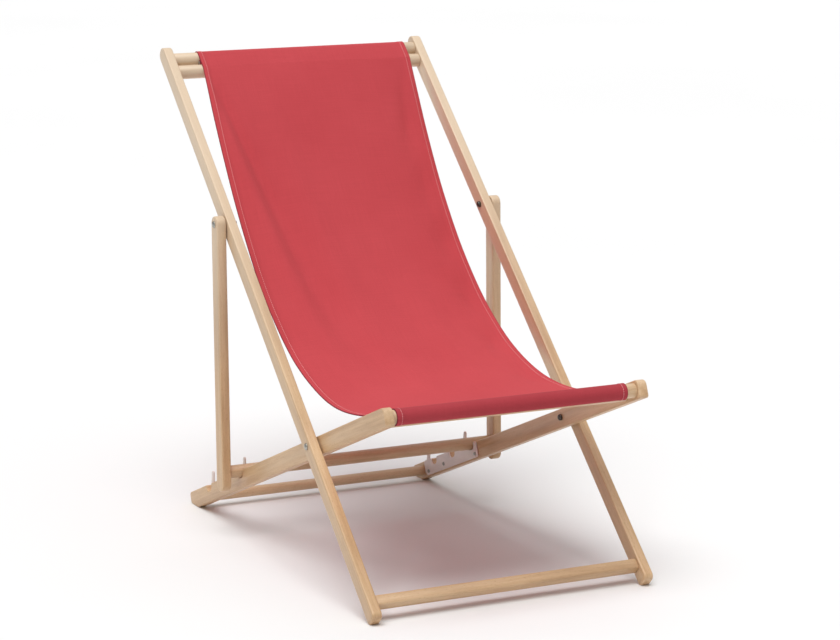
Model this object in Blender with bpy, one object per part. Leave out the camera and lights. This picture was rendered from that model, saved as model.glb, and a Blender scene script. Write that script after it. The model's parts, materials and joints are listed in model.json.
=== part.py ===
"""Folding deck chair: beech back, seat and prop frames on steel pivots, with a canvas sling.

Metres, +Z up. X runs across the chair, the sitter faces -Y, and the floor is Z = 0. The origin is
on the floor, under the middle of the chair's outer box. Each frame is modelled flat in its own
plane: local Y runs along its rails and local Z across them.
"""

import math

import bmesh
import bpy
from mathutils import Matrix, Vector

# Gaps between pieces
TOUCH_GAP = 0.0003
SHANK_GAP = 0.0003
TENON_GAP = 0.0004
NOTCH_GAP = 0.0006
CLOTH_GAP = 0.001
DRILL_RUN = 0.002

# Across the chair
CLEAR_WIDTH = 0.4688
BACK_SIDE_GAP = 0.0027
PROP_SIDE_GAP = 0.0020
RAIL_THICKNESS = 0.018
EDGE_ROUND = 0.0022

# Back frame: lengths from the seat pivot along the rail
BACK_ANGLE = math.radians(42.7)
BACK_LEG = 0.3725
BACK_REACH = 0.929
BACK_RAIL_WIDTH = 0.030
BACK_FOOT_LAND = 0.007
BACK_TOE_ROUND = 0.010
TOP_DOWEL_DROP = 0.0274
CROSSBAR_DROP = 0.3257
CROSSBAR_WIDTH = 0.021
CROSSBAR_DEPTH = 0.020
CROSSBAR_ROUND = 0.004
CROSSBAR_END_EASE = 0.001
PROP_PIVOT = 0.5007

# Seat frame: lengths from the seat pivot along the rail, and the rail's drop below that pivot
SEAT_FRONT = 0.297
SEAT_REAR = 0.661
SEAT_RAIL_WIDTH = 0.034
SEAT_RAIL_DROP = 0.0015
SEAT_HEEL_LAND = 0.0125
SEAT_HEEL_ROUND = 0.006
SEAT_NOSE_ROUND_TOP = 0.012
SEAT_NOSE_ROUND_LOW = 0.005
FRONT_DOWEL_INSET = 0.017
FOOT_DOWEL_BACK = 0.6147
FOOT_DOWEL_D = 0.020
NOTCHES = (0.554, 0.468, 0.382)
NOTCH_SINK = 0.0007
NOTCH_MOUTH_ROUND = 0.0035
NOTCH_FLOOR_ROUND = 0.009

# Prop frame
PROP_LEG_WIDTH = 0.030
PROP_LEG_TOE = 0.0357
PROP_BAR_D = 0.024

# Dowels
SLING_DOWEL_D = 0.026
SLING_DOWEL_SPACE = 0.0052
TENON_SHARE = 0.6
TENON_LENGTH = 0.010
DOWEL_END_EASE = 0.001
CROSSBAR_TENON_D = 0.012

# Notch racks on the seat rails' inner faces
RACK_THICKNESS = 0.003
RACK_FRONT_MARGIN = 0.012
RACK_REAR_MARGIN = 0.047
RACK_FOOT = 0.0035
RACK_ROUND = 0.005
RACK_HEEL_ROUND = 0.012
RACK_EDGE_ROUND = 0.0006
RACK_NOTCH_EASE = 0.0004
HOOK_ROOT = (0.007, 0.020)
HOOK_TIP = (-0.004, 0.005)
HOOK_RISE = 0.026
HOOK_ROUND = 0.003
HOOK_ROOT_ROUND = 0.001
HOOKED_NOTCHES = (NOTCHES[0], NOTCHES[2])

# Rack screws
SCREW_D = 0.0035
SCREW_LENGTH = 0.014
SCREW_HEAD_D = 0.0075
SCREW_HEAD_RISE = 0.0024
SCREW_REAR = 0.018
SCREW_FRONT = 0.003
SCREW_HEIGHT = 0.011
SCREW_MIDDLE_HEIGHT = 0.014

# Pivot hardware
BOLT_D = 0.006
BOLT_HEAD_D = 0.0125
BOLT_HEAD_RISE = 0.0034
WASHER_D = 0.016
NUT_D = 0.0115
NUT_RISE = 0.0062
NUT_SKIN = 0.0018

# Sling and its sleeve rods
SLING_WIDTH = 0.447
SLING_SHIFT_TOP = 0.0109
SLING_SHIFT_FRONT = -0.0048
CLOTH_THICKNESS = 0.0016
SLEEVE_ROD_D = 0.006
SLEEVE_ROD_LENGTH = 0.440
SLEEVE_TAIL = 0.003
LEAVE_ANGLE_LEFT = math.radians(6.0)
LEAVE_ANGLE_RIGHT = math.radians(20.0)
LEAVE_CURVE = 3.0
LEAVE_PULL = 0.235
ARRIVE_ANGLE = math.radians(2.6)
ARRIVE_PULL = 0.515
SLING_STEPS = 26
SLING_STRIPS = 6
WRAP_STEPS = 12
PASS_STEPS = 2

SMALL_ROUND = 0.005
SMALL_STEPS = 12
ROUND_STEPS = 24
FILLET_STEPS = 4
SAME_POINT = 1e-6

# Worked out from the sizes above
PIVOT_HEIGHT = BACK_LEG * math.sin(BACK_ANGLE)
HEEL_LOW = SEAT_RAIL_WIDTH / 2 + SEAT_RAIL_DROP - SEAT_HEEL_LAND
SEAT_SLOPE = math.asin(PIVOT_HEIGHT / math.hypot(SEAT_REAR, HEEL_LOW)) - math.atan(HEEL_LOW / SEAT_REAR)
SEAT_INNER_X = CLEAR_WIDTH / 2
SEAT_OUTER_X = SEAT_INNER_X + RAIL_THICKNESS
BACK_INNER_X = SEAT_OUTER_X + BACK_SIDE_GAP
BACK_OUTER_X = BACK_INNER_X + RAIL_THICKNESS
PROP_INNER_X = BACK_OUTER_X + PROP_SIDE_GAP
PROP_OUTER_X = PROP_INNER_X + RAIL_THICKNESS
SEAT_TOP = SEAT_RAIL_WIDTH / 2 - SEAT_RAIL_DROP
SEAT_LOW = -SEAT_RAIL_WIDTH / 2 - SEAT_RAIL_DROP
NOTCH_HALF = PROP_BAR_D / 2 + NOTCH_GAP
NOTCH_FLOOR = SEAT_TOP - NOTCH_SINK - NOTCH_HALF
DOWEL_PITCH = SLING_DOWEL_D + SLING_DOWEL_SPACE
TOP_DOWELS = (BACK_REACH - TOP_DOWEL_DROP, BACK_REACH - TOP_DOWEL_DROP - DOWEL_PITCH)
FRONT_DOWELS = (-SEAT_FRONT + FRONT_DOWEL_INSET, -SEAT_FRONT + FRONT_DOWEL_INSET + DOWEL_PITCH)
TENON_D = SLING_DOWEL_D * TENON_SHARE
WRAP_RADIUS = SLING_DOWEL_D / 2 + CLOTH_GAP + CLOTH_THICKNESS / 2
SIDES = {"left": -1, "right": 1}


def turned(point, angle):
    """A point of a frame's plane, turned by the frame's angle about X."""
    y, z = point
    return Vector((0, y * math.cos(angle) - z * math.sin(angle), y * math.sin(angle) + z * math.cos(angle)))


# Materials


def material(name, color, roughness, metallic=0.0):
    made = bpy.data.materials.new(name)
    made.use_nodes = True
    shader = made.node_tree.nodes["Principled BSDF"]
    shader.inputs["Base Color"].default_value = (*color, 1)
    shader.inputs["Roughness"].default_value = roughness
    shader.inputs["Metallic"].default_value = metallic
    return made


def part_material(part):
    """Each part has its own material, in the finish its kind of piece has."""
    finishes = {
        "beech": ((0.60, 0.43, 0.26), 0.5, 0.0),
        "canvas": ((0.55, 0.075, 0.085), 0.9, 0.0),
        "nylon": ((0.72, 0.70, 0.68), 0.45, 0.0),
        "steel": ((0.55, 0.54, 0.52), 0.35, 1.0),
    }
    kinds = {"sling": "canvas", "rack": "nylon", "screw": "steel", "bolt": "steel", "nut": "steel",
             "washer": "nylon", "rod": "steel"}
    kind = next((finish for word, finish in kinds.items() if word in part), "beech")
    return material(part + "_" + kind, *finishes[kind])


# Shape helpers


def add(name, mesh_data, frame):
    """Makes the mesh an object of its frame, with its own material."""
    mesh = bpy.data.meshes.new(name)
    bmesh.ops.recalc_face_normals(mesh_data, faces=mesh_data.faces)
    mesh_data.to_mesh(mesh)
    mesh_data.free()
    obj = bpy.data.objects.new(name, mesh)
    bpy.context.scene.collection.objects.link(obj)
    obj.parent = frame
    mesh.materials.append(part_material(name))
    return obj


def shade(obj, angle=math.radians(35)):
    obj.data.shade_smooth()
    obj.data.set_sharp_from_angle(angle=angle)


def filleted(corners):
    """An outline whose corners, each (y, z, radius), are rounded by an arc."""
    points = []
    for i, (y, z, radius) in enumerate(corners):
        corner = Vector((y, z))
        before = (Vector(corners[i - 1][:2]) - corner).normalized()
        after = (Vector(corners[(i + 1) % len(corners)][:2]) - corner).normalized()
        if radius == 0:
            points.append(corner)
            continue
        half = before.angle(after) / 2
        centre = corner + (before + after).normalized() * radius / math.sin(half)
        first = corner + before * radius / math.tan(half) - centre
        last = corner + after * radius / math.tan(half) - centre
        sweep = first.angle_signed(last)
        for step in range(FILLET_STEPS + 1):
            turn = Matrix.Rotation(-sweep * step / FILLET_STEPS, 2)
            points.append(centre + turn @ first)
    return [p for i, p in enumerate(points) if (p - points[i - 1]).length > SAME_POINT]


def inset(outline, distance):
    """The outline moved inwards, with its corners mitred."""
    moved = []
    for i, point in enumerate(outline):
        before = (point - outline[i - 1]).normalized()
        after = (outline[(i + 1) % len(outline)] - point).normalized()
        first, second = Vector((-before.y, before.x)), Vector((-after.y, after.x))
        moved.append(point + (first + second) / (1 + first.dot(second)) * distance)
    return moved


def plate(outline, x_from, x_to, ease=EDGE_ROUND):
    """A flat piece cut to an outline, as thick as x_from to x_to, with its arrises rounded."""
    made = bmesh.new()
    soft = 1 - math.sqrt(0.5)
    steps = ((x_from, ease), (x_from + ease * soft, ease * soft), (x_from + ease, 0),
             (x_to - ease, 0), (x_to - ease * soft, ease * soft), (x_to, ease))
    rings = [[made.verts.new((x, p.x, p.y)) for p in inset(outline, depth)] for x, depth in steps]
    for first, second in zip(rings, rings[1:]):
        for i, corner in enumerate(first):
            made.faces.new([corner, first[i - 1], second[i - 1], second[i]])
    made.faces.new(rings[0])
    made.faces.new(rings[-1])
    return made


def round_steps(profile):
    """How many sides a turned piece has: fewer on a small one."""
    widest = max(radius for _, radius in profile)
    return SMALL_STEPS if widest < SMALL_ROUND else ROUND_STEPS


def turned_piece(profile, at):
    """A piece turned about a line along X at the point (y, z): profile holds (x, radius) pairs."""
    made = bmesh.new()
    y, z = at
    steps = round_steps(profile)
    rings = []
    for x, radius in profile:
        if radius == 0:
            rings.append([made.verts.new((x, y, z))])
            continue
        angles = [2 * math.pi * step / steps for step in range(steps)]
        around = [(x, y + radius * math.cos(a), z + radius * math.sin(a)) for a in angles]
        rings.append([made.verts.new(point) for point in around])
    for first, second in zip(rings, rings[1:]):
        for i in range(steps):
            j = (i + 1) % steps
            near = [first[i % len(first)], first[j % len(first)]]
            far = [second[j % len(second)], second[i % len(second)]]
            made.faces.new(list(dict.fromkeys(near + far)))
    return made


def bore(obj, name, at, x_from, x_to, diameter, frame):
    """Drills a round hole along X through or into the piece."""
    radius = diameter / 2
    made = turned_piece([(x_from, 0), (x_from, radius), (x_to, radius), (x_to, 0)], at)
    cutter = add(name, made, frame)
    cutter.hide_render = True
    cutter.display_type = "WIRE"
    cut = obj.modifiers.new(name, "BOOLEAN")
    cut.operation = "DIFFERENCE"
    cut.object = cutter


def mirrored_span(side, inner, outer):
    """The x values of a piece on one side of the chair, low to high."""
    return sorted((SIDES[side] * inner, SIDES[side] * outer))


def mortise(rail, side, name, at, face_x, diameter, frame):
    """A blind hole in a rail's inner face for the end of a dowel."""
    way = SIDES[side]
    deep = face_x + TENON_LENGTH + TENON_GAP
    bore(rail, name, at, way * (face_x - TENON_GAP), way * deep, diameter + 2 * TENON_GAP, frame)


def dowel(name, at, half_length, diameter, tenon_diameter, frame):
    """A round bar between two rails with a turned-down tenon at each end."""
    radius = diameter / 2
    shoulder = half_length - TOUCH_GAP
    tip = half_length + TENON_LENGTH
    half = [(shoulder - DOWEL_END_EASE, radius), (shoulder, radius - DOWEL_END_EASE)]
    half += [(shoulder, tenon_diameter / 2)]
    half += [(tip, tenon_diameter / 2), (tip, 0)]
    profile = [(-x, r) for x, r in reversed(half)] + half
    obj = add(name, turned_piece(profile, at), frame)
    shade(obj)
    return obj


# Outlines of the two long rails, and where the frames stand


def floor_y(z, angle):
    """Local y at which a rail's line at height z meets the floor."""
    return -(PIVOT_HEIGHT + z * math.cos(angle)) / math.sin(angle)


def back_outline():
    """The rail stands on a short flat land; its end is square with a rounded toe, its top is round."""
    half = BACK_RAIL_WIDTH / 2
    heel = floor_y(-half, BACK_ANGLE)
    end = heel - BACK_FOOT_LAND * math.cos(BACK_ANGLE)
    return filleted([
        (heel, -half, 0),
        (BACK_REACH, -half, half),
        (BACK_REACH, half, half),
        (end, half, BACK_TOE_ROUND),
        (end, -half + BACK_FOOT_LAND * math.sin(BACK_ANGLE), 0),
    ])


def notched_top():
    """The corners of the three notches along the seat rail's top edge, rear to front."""
    corners = []
    for y in NOTCHES:
        corners += [
            (y + NOTCH_HALF, SEAT_TOP, NOTCH_MOUTH_ROUND),
            (y + NOTCH_HALF, NOTCH_FLOOR, NOTCH_FLOOR_ROUND),
            (y - NOTCH_HALF, NOTCH_FLOOR, NOTCH_FLOOR_ROUND),
            (y - NOTCH_HALF, SEAT_TOP, NOTCH_MOUTH_ROUND),
        ]
    return corners


def seat_outline():
    return filleted([
        (-SEAT_FRONT, SEAT_LOW, SEAT_NOSE_ROUND_LOW),
        (floor_y(SEAT_LOW, -SEAT_SLOPE), SEAT_LOW, 0),
        (SEAT_REAR, -HEEL_LOW, 0),
        (SEAT_REAR, SEAT_TOP, SEAT_HEEL_ROUND),
        *notched_top(),
        (-SEAT_FRONT, SEAT_TOP, SEAT_NOSE_ROUND_TOP),
    ])


def chair_middle():
    """How far the middle of the chair's outer box lies behind the seat pivot."""
    points = [turned(p, BACK_ANGLE).y for p in back_outline()]
    points += [turned(p, -SEAT_SLOPE).y for p in seat_outline()]
    return (min(points) + max(points)) / 2


SEAT_PIVOT = Vector((0, -chair_middle(), PIVOT_HEIGHT))
PROP_PIVOT_AT = SEAT_PIVOT + turned((PROP_PIVOT, 0), BACK_ANGLE)
BAR_AT = SEAT_PIVOT + turned((NOTCHES[-1], SEAT_TOP - NOTCH_SINK), -SEAT_SLOPE)
PROP_REACH = PROP_PIVOT_AT - BAR_AT
PROP_LENGTH = PROP_REACH.length
PROP_ANGLE = math.atan2(PROP_REACH.z, PROP_REACH.y)


# Frames


def frame_axis(name, location, angle):
    """An empty on a frame's pivot axis, turned so that its local Y runs along the rails."""
    axis = bpy.data.objects.new(name, None)
    bpy.context.scene.collection.objects.link(axis)
    axis.location = location
    axis.rotation_euler = (angle, 0, 0)
    return axis


# Back frame


def back_rail(side, frame):
    span = mirrored_span(side, BACK_INNER_X, BACK_OUTER_X)
    rail = add("back_rail_" + side, plate(back_outline(), *span), frame)
    shade(rail)
    for label, y in zip(("upper", "lower"), TOP_DOWELS):
        mortise(rail, side, f"cut_back_{side}_{label}", (y, 0), BACK_INNER_X, TENON_D, frame)
    mortise(rail, side, f"cut_back_{side}_crossbar", (-CROSSBAR_DROP, 0), BACK_INNER_X,
            CROSSBAR_TENON_D, frame)
    for label, y in (("seat_pivot", 0), ("prop_pivot", PROP_PIVOT)):
        through = mirrored_span(side, BACK_INNER_X - DRILL_RUN, BACK_OUTER_X + DRILL_RUN)
        bore(rail, f"cut_back_{side}_{label}", (y, 0), *through, BOLT_D + 2 * SHANK_GAP, frame)
    return rail


def bottom_crossbar(frame):
    y, z = CROSSBAR_WIDTH / 2, CROSSBAR_DEPTH / 2
    corners = [(-y, -z), (y, -z), (y, z), (-y, z)]
    outline = filleted([(-CROSSBAR_DROP + a, b, CROSSBAR_ROUND) for a, b in corners])
    shoulder = BACK_INNER_X - TOUCH_GAP
    bar = add("bottom_crossbar", plate(outline, -shoulder, shoulder, CROSSBAR_END_EASE), frame)
    tip = BACK_INNER_X + TENON_LENGTH
    tenon_radius = CROSSBAR_TENON_D / 2
    core = [(-tip, 0), (-tip, tenon_radius), (tip, tenon_radius), (tip, 0)]
    tenon = add("join_crossbar_tenon", turned_piece(core, (-CROSSBAR_DROP, 0)), frame)
    tenon.hide_render = True
    tenon.display_type = "WIRE"
    join = bar.modifiers.new("tenons", "BOOLEAN")
    join.operation = "UNION"
    join.object = tenon
    shade(bar)


# Seat frame


def seat_rail(side, frame):
    span = mirrored_span(side, SEAT_INNER_X, SEAT_OUTER_X)
    rail = add("seat_rail_" + side, plate(seat_outline(), *span), frame)
    shade(rail)
    for label, y in zip(("front", "second"), FRONT_DOWELS):
        mortise(rail, side, f"cut_seat_{side}_{label}", (y, -SEAT_RAIL_DROP), SEAT_INNER_X, TENON_D, frame)
    mortise(rail, side, f"cut_seat_{side}_foot", (FOOT_DOWEL_BACK, -SEAT_RAIL_DROP), SEAT_INNER_X,
            FOOT_DOWEL_D * TENON_SHARE, frame)
    through = mirrored_span(side, SEAT_INNER_X - DRILL_RUN, SEAT_OUTER_X + DRILL_RUN)
    bore(rail, f"cut_seat_{side}_pivot", (0, 0), *through, BOLT_D + 2 * SHANK_GAP, frame)
    deep = SEAT_INNER_X + SCREW_LENGTH - RACK_THICKNESS + SHANK_GAP
    for number, at in enumerate(rack_screw_places(), 1):
        pilot = mirrored_span(side, SEAT_INNER_X - TOUCH_GAP, deep)
        bore(rail, f"cut_seat_{side}_screw_{number}", at, *pilot, SCREW_D + 2 * SHANK_GAP, frame)
    return rail


# Notch racks


def rack_screw_places():
    """Rear, middle and front screw of a rack, below and between the notches."""
    low = SEAT_LOW + SCREW_HEIGHT
    return (
        (NOTCHES[0] + NOTCH_HALF + SCREW_REAR, low),
        ((NOTCHES[0] + NOTCHES[1]) / 2, SEAT_LOW + SCREW_MIDDLE_HEIGHT),
        (NOTCHES[2] - NOTCH_HALF - SCREW_FRONT, low),
    )


def rack_top():
    """The rack's upper edge, rear to front: notches a little wider than the rail's, and leaning hooks."""
    half = NOTCH_HALF + RACK_NOTCH_EASE
    floor = NOTCH_FLOOR - RACK_NOTCH_EASE
    tip = SEAT_TOP + HOOK_RISE
    corners = []
    for y in NOTCHES:
        if y in HOOKED_NOTCHES:
            corners += [
                (y + half + HOOK_ROOT[1], SEAT_TOP, HOOK_ROOT_ROUND),
                (y + half + HOOK_TIP[1], tip, HOOK_ROUND),
                (y + half + HOOK_TIP[0], tip, HOOK_ROUND),
                (y + half + HOOK_ROOT[0], SEAT_TOP, HOOK_ROOT_ROUND),
            ]
        corners += [(y + half, SEAT_TOP, NOTCH_MOUTH_ROUND)]
        corners += [
            (y + half, floor, NOTCH_FLOOR_ROUND),
            (y - half, floor, NOTCH_FLOOR_ROUND),
            (y - half, SEAT_TOP, NOTCH_MOUTH_ROUND),
        ]
    return corners


def rack(side, frame):
    front = NOTCHES[2] - NOTCH_HALF - RACK_FRONT_MARGIN
    rear = NOTCHES[0] + RACK_REAR_MARGIN
    foot = SEAT_LOW + RACK_FOOT
    outline = filleted([
        (front, foot, RACK_ROUND),
        (rear, foot, RACK_HEEL_ROUND),
        (rear, SEAT_TOP, RACK_ROUND),
        *rack_top(),
        (front, SEAT_TOP, RACK_ROUND),
    ])
    span = mirrored_span(side, SEAT_INNER_X - TOUCH_GAP - RACK_THICKNESS, SEAT_INNER_X - TOUCH_GAP)
    plate_piece = add("notch_rack_" + side, plate(outline, *span, RACK_EDGE_ROUND), frame)
    shade(plate_piece)
    for number, at in enumerate(rack_screw_places(), 1):
        through = mirrored_span(side, SEAT_INNER_X - RACK_THICKNESS - DRILL_RUN, SEAT_INNER_X)
        bore(plate_piece, f"cut_rack_{side}_{number}", at, *through, SCREW_D + 2 * SHANK_GAP, frame)
        rack_screw(side, number, at, frame)


def rack_screw(side, number, at, frame):
    """A pan-head screw through the rack into the rail."""
    way = SIDES[side]
    seat = SEAT_INNER_X - TOUCH_GAP - RACK_THICKNESS - TOUCH_GAP
    radius = SCREW_HEAD_D / 2
    tip = SEAT_INNER_X - RACK_THICKNESS + SCREW_LENGTH
    profile = [
        (seat - SCREW_HEAD_RISE, 0),
        (seat - SCREW_HEAD_RISE, radius * 0.55),
        (seat - SCREW_HEAD_RISE * 0.6, radius * 0.9),
        (seat, radius),
        (seat, SCREW_D / 2),
        (tip - SCREW_D, SCREW_D / 2),
        (tip, 0),
    ]
    screw = add(f"rack_screw_{side}_{number}", turned_piece([(way * x, r) for x, r in profile], at), frame)
    shade(screw)


# Prop frame


def prop_leg(side, frame):
    half = PROP_LEG_WIDTH / 2
    foot = -PROP_LENGTH - PROP_LEG_TOE
    corners = [(foot, -half), (half, -half), (half, half), (foot, half)]
    outline = filleted([(y, z, half) for y, z in corners])
    leg = add("prop_leg_" + side, plate(outline, *mirrored_span(side, PROP_INNER_X, PROP_OUTER_X)), frame)
    shade(leg)
    mortise(leg, side, f"cut_prop_{side}_bar", (-PROP_LENGTH, 0), PROP_INNER_X,
            PROP_BAR_D * TENON_SHARE, frame)
    through = mirrored_span(side, PROP_INNER_X - DRILL_RUN, PROP_OUTER_X + DRILL_RUN)
    bore(leg, f"cut_prop_{side}_pivot", (0, 0), *through, BOLT_D + 2 * SHANK_GAP, frame)
    return leg


# Pivot hardware


def pivot_set(name, side, inner_face, outer_face, gap_inner, gap_outer, frame):
    """Round-headed bolt, washer between the rails, and domed nut, all on the frame's local X axis."""
    way = SIDES[side]
    shank = BOLT_D / 2
    head = BOLT_HEAD_D / 2
    seat = outer_face + TOUCH_GAP
    shank_end = inner_face - TOUCH_GAP - NUT_RISE + NUT_SKIN + TOUCH_GAP
    bolt = [(shank_end, 0), (shank_end, shank), (seat, shank), (seat, head)]
    dome = ((0.98, 0.2), (0.8, 0.68), (0.45, 0.95))
    bolt += [(seat + BOLT_HEAD_RISE * rise, head * wide) for wide, rise in dome]
    bolt += [(seat + BOLT_HEAD_RISE, 0)]
    shade(add(f"{name}_bolt_{side}", turned_piece([(way * x, r) for x, r in bolt], (0, 0)), frame))

    bore_radius = shank + SHANK_GAP
    low, high = gap_inner + TOUCH_GAP, gap_outer - TOUCH_GAP
    washer = [(low, bore_radius), (low, WASHER_D / 2), (high, WASHER_D / 2), (high, bore_radius)]
    shade(add(f"{name}_washer_{side}", closed_ring([(way * x, r) for x, r in washer]), frame))

    face = inner_face - TOUCH_GAP
    radius = NUT_D / 2
    pocket = face - NUT_RISE + NUT_SKIN
    nut = [(face, bore_radius), (face, radius)]
    nut += [(face - NUT_RISE * rise, radius * wide) for wide, rise in ((1, 0.45), (0.86, 0.78), (0.5, 0.96))]
    nut += [(face - NUT_RISE, 0)]
    outer = [(way * x, r) for x, r in nut]
    inside = [(way * pocket, 0), (way * pocket, bore_radius)]
    shade(add(f"{name}_nut_{side}", turned_piece(inside + outer, (0, 0)), frame))


def closed_ring(profile):
    """A ring turned about the local X axis from a closed profile of (x, radius) pairs."""
    made = bmesh.new()
    rings = []
    for x, radius in profile:
        angles = [2 * math.pi * step / ROUND_STEPS for step in range(ROUND_STEPS)]
        rings.append([made.verts.new((x, radius * math.cos(a), radius * math.sin(a))) for a in angles])
    for number, first in enumerate(rings):
        second = rings[(number + 1) % len(rings)]
        for i in range(ROUND_STEPS):
            j = (i + 1) % ROUND_STEPS
            made.faces.new([first[i], first[j], second[j], second[i]])
    return made


# Sling


def arc(centre, start, sweep, radius, steps):
    """Points on an arc in a frame's plane, angles measured from local Y towards local Z."""
    angles = [start + sweep * step / steps for step in range(steps + 1)]
    return [(centre[0] + radius * math.cos(a), centre[1] + radius * math.sin(a)) for a in angles]


def sling_line(leave_angle):
    """The cloth's middle line, from its tail in front of the top dowels to its tail at the front ones."""
    quarter = math.pi / 2
    upper, lower = TOP_DOWELS
    front, second = FRONT_DOWELS
    drop = -SEAT_RAIL_DROP
    tail = [(upper - WRAP_RADIUS, SLEEVE_TAIL)]
    top = tail + arc((upper, 0), 2 * quarter, 3 * quarter, WRAP_RADIUS, WRAP_STEPS)
    top += arc((lower, 0), quarter, leave_angle, WRAP_RADIUS, PASS_STEPS)
    nose = arc((second, drop), quarter + ARRIVE_ANGLE, -ARRIVE_ANGLE, WRAP_RADIUS, PASS_STEPS)
    nose += arc((front, drop), quarter, 3 * quarter, WRAP_RADIUS, WRAP_STEPS)
    nose += [(front + WRAP_RADIUS, drop + SLEEVE_TAIL)]
    top = [SEAT_PIVOT + turned(p, BACK_ANGLE) for p in top]
    nose = [SEAT_PIVOT + turned(p, -SEAT_SLOPE) for p in nose]
    start, end = top[-1], nose[0]
    down = -turned((math.cos(leave_angle), math.sin(leave_angle)), BACK_ANGLE)
    back = turned((math.cos(ARRIVE_ANGLE), math.sin(ARRIVE_ANGLE)), -SEAT_SLOPE)
    chord = (start - end).length
    pull_down, pull_back = LEAVE_PULL * chord, ARRIVE_PULL * chord
    handles = (start, start + down * pull_down, end + back * pull_back, end)
    free = [bezier(handles, step / SLING_STEPS) for step in range(1, SLING_STEPS)]
    return top + free + nose


def bezier(handles, t):
    a, b, c, d = handles
    return a * (1 - t) ** 3 + b * 3 * t * (1 - t) ** 2 + c * 3 * t * t * (1 - t) + d * t ** 3


def offset_line(points, distance):
    """The line moved sideways in its Y-Z plane."""
    moved = []
    for i, point in enumerate(points):
        ahead = points[min(i + 1, len(points) - 1)]
        behind = points[max(i - 1, 0)]
        along = (ahead - behind).normalized()
        moved.append(point + Vector((0, -along.z, along.y)) * distance)
    return moved


def cloth_row(across):
    """The cloth's upper and lower points, top to front, at a share across its width from the left edge."""
    leave = LEAVE_ANGLE_LEFT + (LEAVE_ANGLE_RIGHT - LEAVE_ANGLE_LEFT) * across ** LEAVE_CURVE
    line = sling_line(leave)
    from_middle = (across - 0.5) * SLING_WIDTH
    faces = []
    for distance in (CLOTH_THICKNESS / 2, -CLOTH_THICKNESS / 2):
        row = []
        for i, point in enumerate(offset_line(line, distance)):
            share = i / (len(line) - 1)
            shift = SLING_SHIFT_TOP + (SLING_SHIFT_FRONT - SLING_SHIFT_TOP) * share
            row.append(point + Vector((shift + from_middle, 0, 0)))
        faces.append(row)
    return faces


def sling(frame):
    """One sheet of cloth, a little lower along its right edge, as it hangs in the frames."""
    made = bmesh.new()
    rows = [cloth_row(strip / SLING_STRIPS) for strip in range(SLING_STRIPS + 1)]
    upper = [[made.verts.new(p) for p in row[0]] for row in rows]
    lower = [[made.verts.new(p) for p in row[1]] for row in rows]
    loop = upper + lower[::-1]
    for first, second in zip(loop, loop[1:] + loop[:1]):
        for i in range(len(first) - 1):
            made.faces.new([first[i], first[i + 1], second[i + 1], second[i]])
    for end in (0, -1):
        for left, right in zip(range(SLING_STRIPS), range(1, SLING_STRIPS + 1)):
            made.faces.new([upper[left][end], upper[right][end], lower[right][end], lower[left][end]])
    cloth = add("sling", made, frame)
    shade(cloth, math.radians(60))


def sleeve_rod(name, at, shift, frame):
    """A thin rod in the sleeve at one end of the cloth, which keeps it from slipping through the gap."""
    radius = SLEEVE_ROD_D / 2
    half = SLEEVE_ROD_LENGTH / 2
    eased = radius - DOWEL_END_EASE
    profile = [(-half, 0), (-half, eased), (-half + DOWEL_END_EASE, radius)]
    profile += [(half - DOWEL_END_EASE, radius), (half, eased), (half, 0)]
    shade(add(name, turned_piece([(x + shift, r) for x, r in profile], at), frame))


def rod_rise():
    """How far a sleeve rod stands out of the valley between two dowels."""
    reach = SLING_DOWEL_D / 2 + SLEEVE_ROD_D / 2 + CLOTH_GAP + TOUCH_GAP
    return math.sqrt(reach ** 2 - (DOWEL_PITCH / 2) ** 2)


# Assembly


def clear_scene():
    for obj in list(bpy.data.objects):
        bpy.data.objects.remove(obj)


def build():
    seat_frame = frame_axis("seat_frame_axis", SEAT_PIVOT, -SEAT_SLOPE)
    back_frame = frame_axis("back_frame_axis", SEAT_PIVOT, BACK_ANGLE)
    prop_frame = frame_axis("prop_frame_axis", PROP_PIVOT_AT, PROP_ANGLE)
    world_frame = frame_axis("sling_axis", Vector((0, 0, 0)), 0)

    for side in SIDES:
        back_rail(side, back_frame)
        seat_rail(side, seat_frame)
        rack(side, seat_frame)
        prop_leg(side, prop_frame)
        pivot_set("seat_pivot", side, SEAT_INNER_X, BACK_OUTER_X, SEAT_OUTER_X, BACK_INNER_X, back_frame)
        pivot_set("prop_pivot", side, BACK_INNER_X, PROP_OUTER_X, BACK_OUTER_X, PROP_INNER_X, prop_frame)

    for name, y in zip(("top_dowel_upper", "top_dowel_lower"), TOP_DOWELS):
        dowel(name, (y, 0), BACK_INNER_X, SLING_DOWEL_D, TENON_D, back_frame)
    for name, y in zip(("front_dowel", "front_dowel_second"), FRONT_DOWELS):
        dowel(name, (y, -SEAT_RAIL_DROP), SEAT_INNER_X, SLING_DOWEL_D, TENON_D, seat_frame)
    dowel("foot_dowel", (FOOT_DOWEL_BACK, -SEAT_RAIL_DROP), SEAT_INNER_X, FOOT_DOWEL_D,
          FOOT_DOWEL_D * TENON_SHARE, seat_frame)
    dowel("prop_bar", (-PROP_LENGTH, 0), PROP_INNER_X, PROP_BAR_D, PROP_BAR_D * TENON_SHARE, prop_frame)
    bottom_crossbar(back_frame)

    sling(world_frame)
    top_middle = (TOP_DOWELS[0] + TOP_DOWELS[1]) / 2
    front_middle = (FRONT_DOWELS[0] + FRONT_DOWELS[1]) / 2
    sleeve_rod("top_rod", (top_middle, rod_rise()), SLING_SHIFT_TOP, back_frame)
    sleeve_rod("front_rod", (front_middle, rod_rise() - SEAT_RAIL_DROP), SLING_SHIFT_FRONT, seat_frame)


clear_scene()
build()
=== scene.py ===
"""Looks of the folding deck chair: satin beech frames, hooked nylon racks, zinc pivots and a
red canvas sling with sewn hems and sleeves. Metres, +Z up, the sitter faces -Y."""

import json
import math
import random

import bmesh
import bpy
from mathutils import Matrix, Vector


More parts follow.
